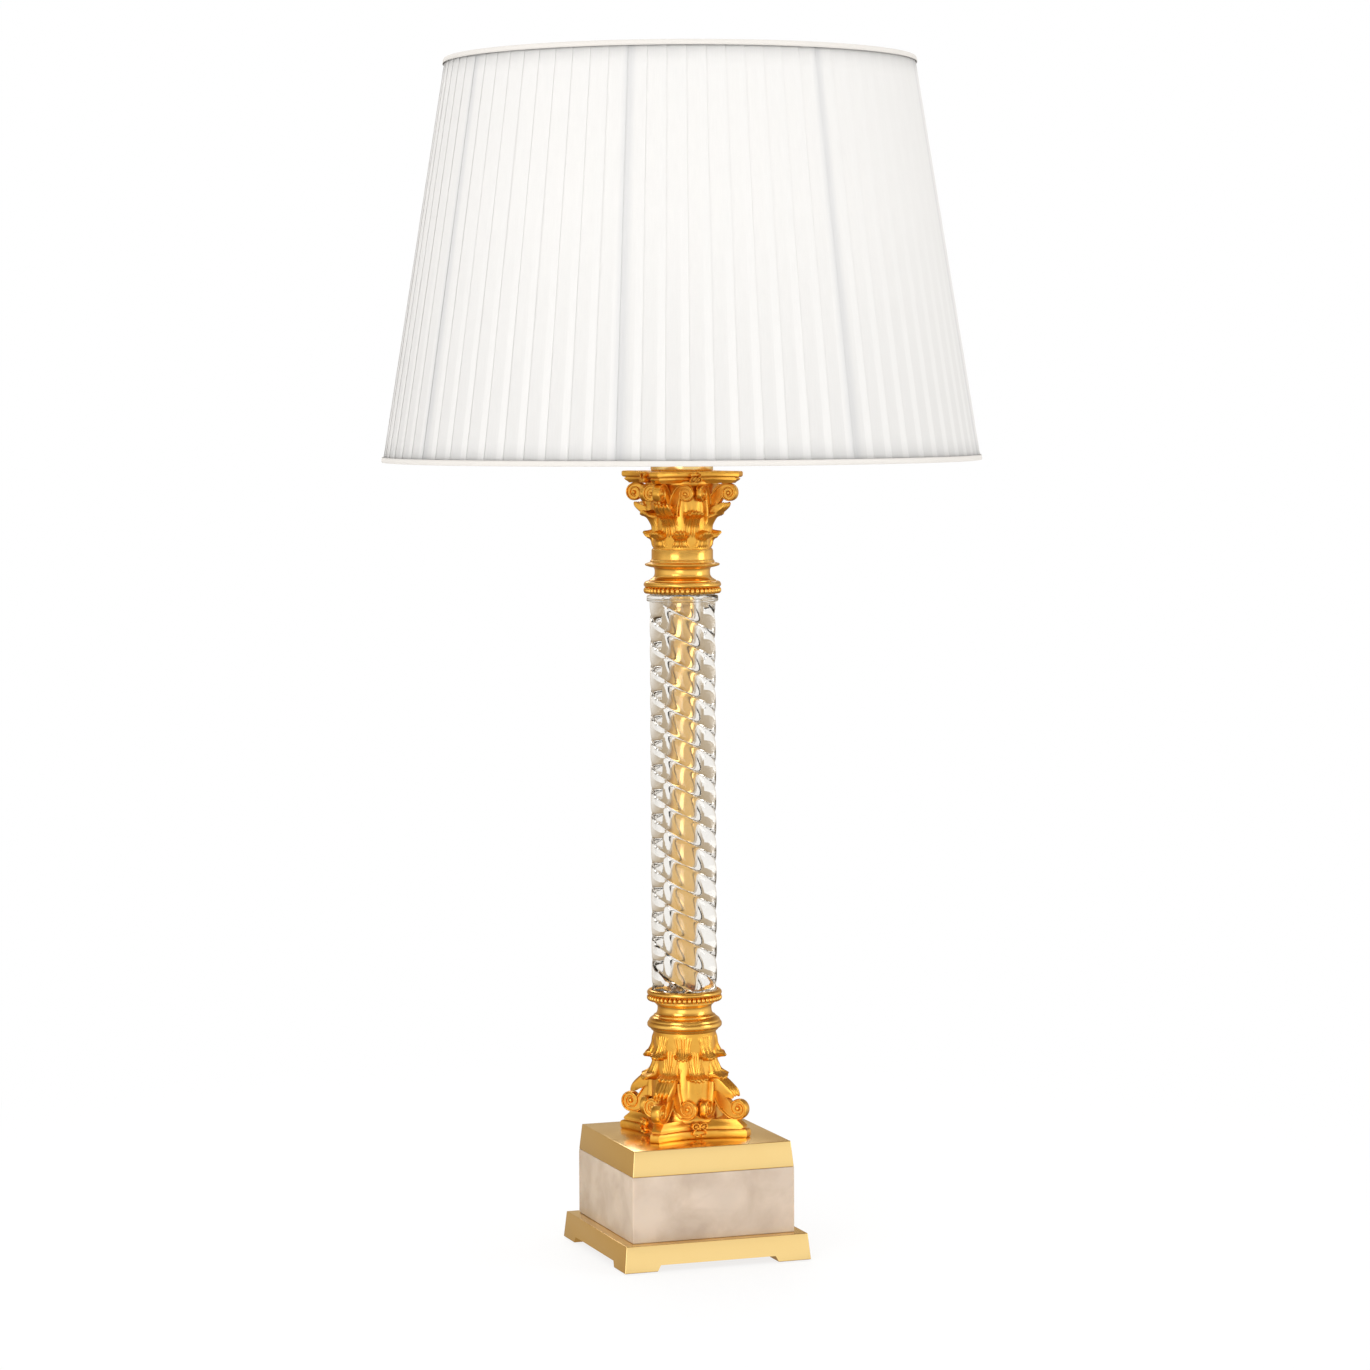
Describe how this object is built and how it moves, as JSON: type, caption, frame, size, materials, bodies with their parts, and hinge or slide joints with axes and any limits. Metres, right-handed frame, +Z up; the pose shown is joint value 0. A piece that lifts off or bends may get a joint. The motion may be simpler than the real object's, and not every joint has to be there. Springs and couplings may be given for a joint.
{
  "type": "table lamp",
  "caption": "Table lamp with a twisted glass column between leafed brass capitals, on a square stone and brass base, under a tapered pleated fabric shade",
  "frame": {"origin": "centre of the base's footprint, on the surface the lamp stands on", "axes": "+Z up along the column, -Y towards the front face of the square base, +X to its right"},
  "size_m": [0.4502, 0.4502, 0.9],
  "materials": {
    "felt": "thick dark felt",
    "gold_brass": "polished gold",
    "steel": "zinc plated",
    "pale_stone": "polished alabaster, pinkish white with pale clouds",
    "clear_glass": "clear moulded glass",
    "soft_washer": "clear soft plastic",
    "white_plastic": "moulded",
    "white_ceramic": "glazed",
    "dark_plastic": "moulded",
    "bulb_glass": "frosted",
    "white_wire": "white enamel",
    "pleated_silk": "white knife pleated silk",
    "lining_cloth": "smooth white lining",
    "binding_tape": "folded tape"
  },
  "bodies": {
    "lamp_base": {"felt_pads": "felt", "plate_feet": "gold_brass", "bottom_plate": "gold_brass", "cord_inlet_bush": "dark_plastic", "base_washer": "steel", "base_nut": "steel", "stone_block": "pale_stone", "base_top_plate": "gold_brass", "lower_capital": "gold_brass", "lower_neck_moulding": "gold_brass", "lower_beaded_collar": "gold_brass", "lower_glass_seat": "soft_washer", "glass_column": "clear_glass", "rod_sleeve": "gold_brass", "tie_rod": "steel", "upper_glass_seat": "soft_washer", "upper_beaded_collar": "gold_brass", "upper_neck_moulding": "gold_brass", "upper_capital": "gold_brass", "holder_cup": "gold_brass", "top_nut": "steel", "lampholder_cap": "white_plastic", "lampholder_body": "white_plastic", "lampholder_insert": "white_ceramic", "screw_shell": "steel", "centre_contact": "steel"},
    "shade": {"shade_fitter": "white_wire", "shade_frame": "white_wire", "shade_cover": "pleated_silk", "shade_lining": "lining_cloth", "top_binding": "binding_tape", "bottom_binding": "binding_tape"},
    "lower_ring": {"lower_shade_ring": "white_plastic"},
    "upper_ring": {"upper_shade_ring": "white_plastic"},
    "bulb": {"bulb_glass": "bulb_glass", "bulb_cap": "steel", "bulb_contact": "steel"}
  },
  "joints": [
    {"name": "shade_swivel", "type": "hinge", "parent": "lamp_base", "child": "shade", "pos_m": [0, 0, 0.64], "axis": [0, 0, 1], "continuous": true},
    {"name": "lower_ring_turn", "type": "hinge", "parent": "lamp_base", "child": "lower_ring", "pos_m": [0, 0, 0.636], "axis": [0, 0, 1], "continuous": true},
    {"name": "upper_ring_turn", "type": "hinge", "parent": "lamp_base", "child": "upper_ring", "pos_m": [0, 0, 0.644], "axis": [0, 0, 1], "continuous": true},
    {"name": "bulb_unscrew", "type": "slide", "parent": "lamp_base", "child": "bulb", "axis": [0, 0, 1], "range_m": [0, 0.035]}
  ]
}
